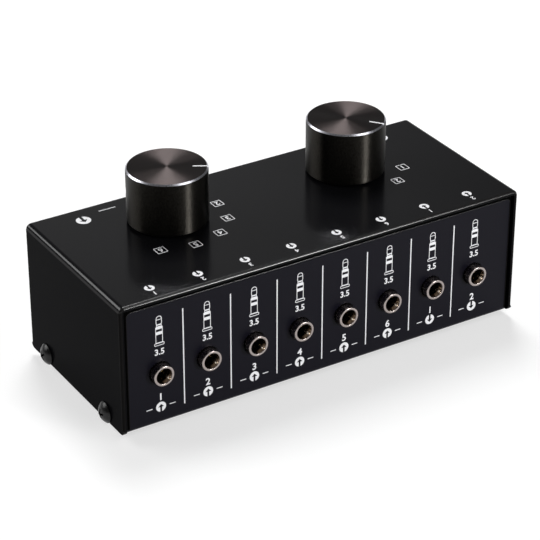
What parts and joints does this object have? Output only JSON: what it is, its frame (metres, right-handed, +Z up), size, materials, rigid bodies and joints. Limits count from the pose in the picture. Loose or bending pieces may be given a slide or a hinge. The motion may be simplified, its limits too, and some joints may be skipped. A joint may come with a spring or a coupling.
{
  "type": "audio source selector",
  "caption": "Black folded metal box that switches audio: a row of 3.5 mm jacks along one side and two rotary selector knobs on top, for choosing the input and the output.",
  "frame": {"origin": "centre of the whole object's box, on the surface that its feet stand on", "axes": "+X along the row of jacks, from the first input jack to the last output jack; -Y towards the side with the jacks; +Z up through the knobs"},
  "size_m": [0.13, 0.0556, 0.0575],
  "materials": {
    "cover_coating": "black powder coat, fine texture, semi-gloss",
    "chassis_coating": "black powder coat, satin",
    "black_screws": "black oxide steel",
    "foot_rubber": "black rubber",
    "board": "green solder mask on glass laminate",
    "guide_plastic": "natural nylon",
    "ribbon_sheath": "grey ribbed insulation",
    "plug_plastic": "black moulded plastic",
    "plated_steel": "zinc plated",
    "jack_nickel": "nickel plated brass",
    "jack_plastic": "black moulded plastic",
    "contact_metal": "tinned and silvered spring brass",
    "switch_zinc": "die-cast zinc",
    "switch_plastic": "glass filled nylon",
    "wafer_laminate": "brown phenolic laminate",
    "spring_steel": "bright spring steel",
    "shaft_brass": "nickel plated brass",
    "rotor_plastic": "natural acetal",
    "knob_anodised": "black anodised, spun top, polished chamfer"
  },
  "bodies": {
    "case": {"board_guides": "guide_plastic", "bushing_nuts": "plated_steel", "chassis": "chassis_coating", "input_detent_springs": "spring_steel", "input_jack_1_barrel": "jack_nickel", "input_jack_1_body": "jack_plastic", "input_jack_1_contacts": "contact_metal", "input_jack_2_barrel": "jack_nickel", "input_jack_2_body": "jack_plastic", "input_jack_2_contacts": "contact_metal", "input_jack_3_barrel": "jack_nickel", "input_jack_3_body": "jack_plastic", "input_jack_3_contacts": "contact_metal", "input_jack_4_barrel": "jack_nickel", "input_jack_4_body": "jack_plastic", "input_jack_4_contacts": "contact_metal", "input_jack_5_barrel": "jack_nickel", "input_jack_5_body": "jack_plastic", "input_jack_5_contacts": "contact_metal", "input_jack_6_barrel": "jack_nickel", "input_jack_6_body": "jack_plastic", "input_jack_6_contacts": "contact_metal", "input_switch_contacts": "contact_metal", "input_switch_frame": "switch_zinc", "input_switch_housing": "switch_plastic", "input_switch_wafer": "wafer_laminate", "jack_board": "board", "output_detent_springs": "spring_steel", "output_jack_1_barrel": "jack_nickel", "output_jack_1_body": "jack_plastic", "output_jack_1_contacts": "contact_metal", "output_jack_2_barrel": "jack_nickel", "output_jack_2_body": "jack_plastic", "output_jack_2_contacts": "contact_metal", "output_switch_contacts": "contact_metal", "output_switch_frame": "switch_zinc", "output_switch_housing": "switch_plastic", "output_switch_wafer": "wafer_laminate", "ribbon_cable": "ribbon_sheath", "ribbon_plugs": "plug_plastic", "rubber_feet": "foot_rubber", "side_screws": "black_screws", "switch_board": "board", "top_cover": "cover_coating"},
    "input_dial": {"input_detent_wheel": "plated_steel", "input_knob": "knob_anodised", "input_knob_grub_screw": "black_screws", "input_rotor": "rotor_plastic", "input_shaft": "shaft_brass", "input_wipers": "contact_metal"},
    "output_dial": {"output_detent_wheel": "plated_steel", "output_knob": "knob_anodised", "output_knob_grub_screw": "black_screws", "output_rotor": "rotor_plastic", "output_shaft": "shaft_brass", "output_wipers": "contact_metal"}
  },
  "joints": [
    {"name": "input_selector_turn", "type": "hinge", "parent": "case", "child": "input_dial", "pos_m": [-0.0288, 0.00945, 0.03995], "axis": [0, 0, 1], "range_deg": [-90, 60], "deforming": ["input_detent_springs"]},
    {"name": "output_selector_turn", "type": "hinge", "parent": "case", "child": "output_dial", "pos_m": [0.0288, 0.00945, 0.03995], "axis": [0, 0, 1], "range_deg": [0, 30], "deforming": ["output_detent_springs"]}
  ]
}
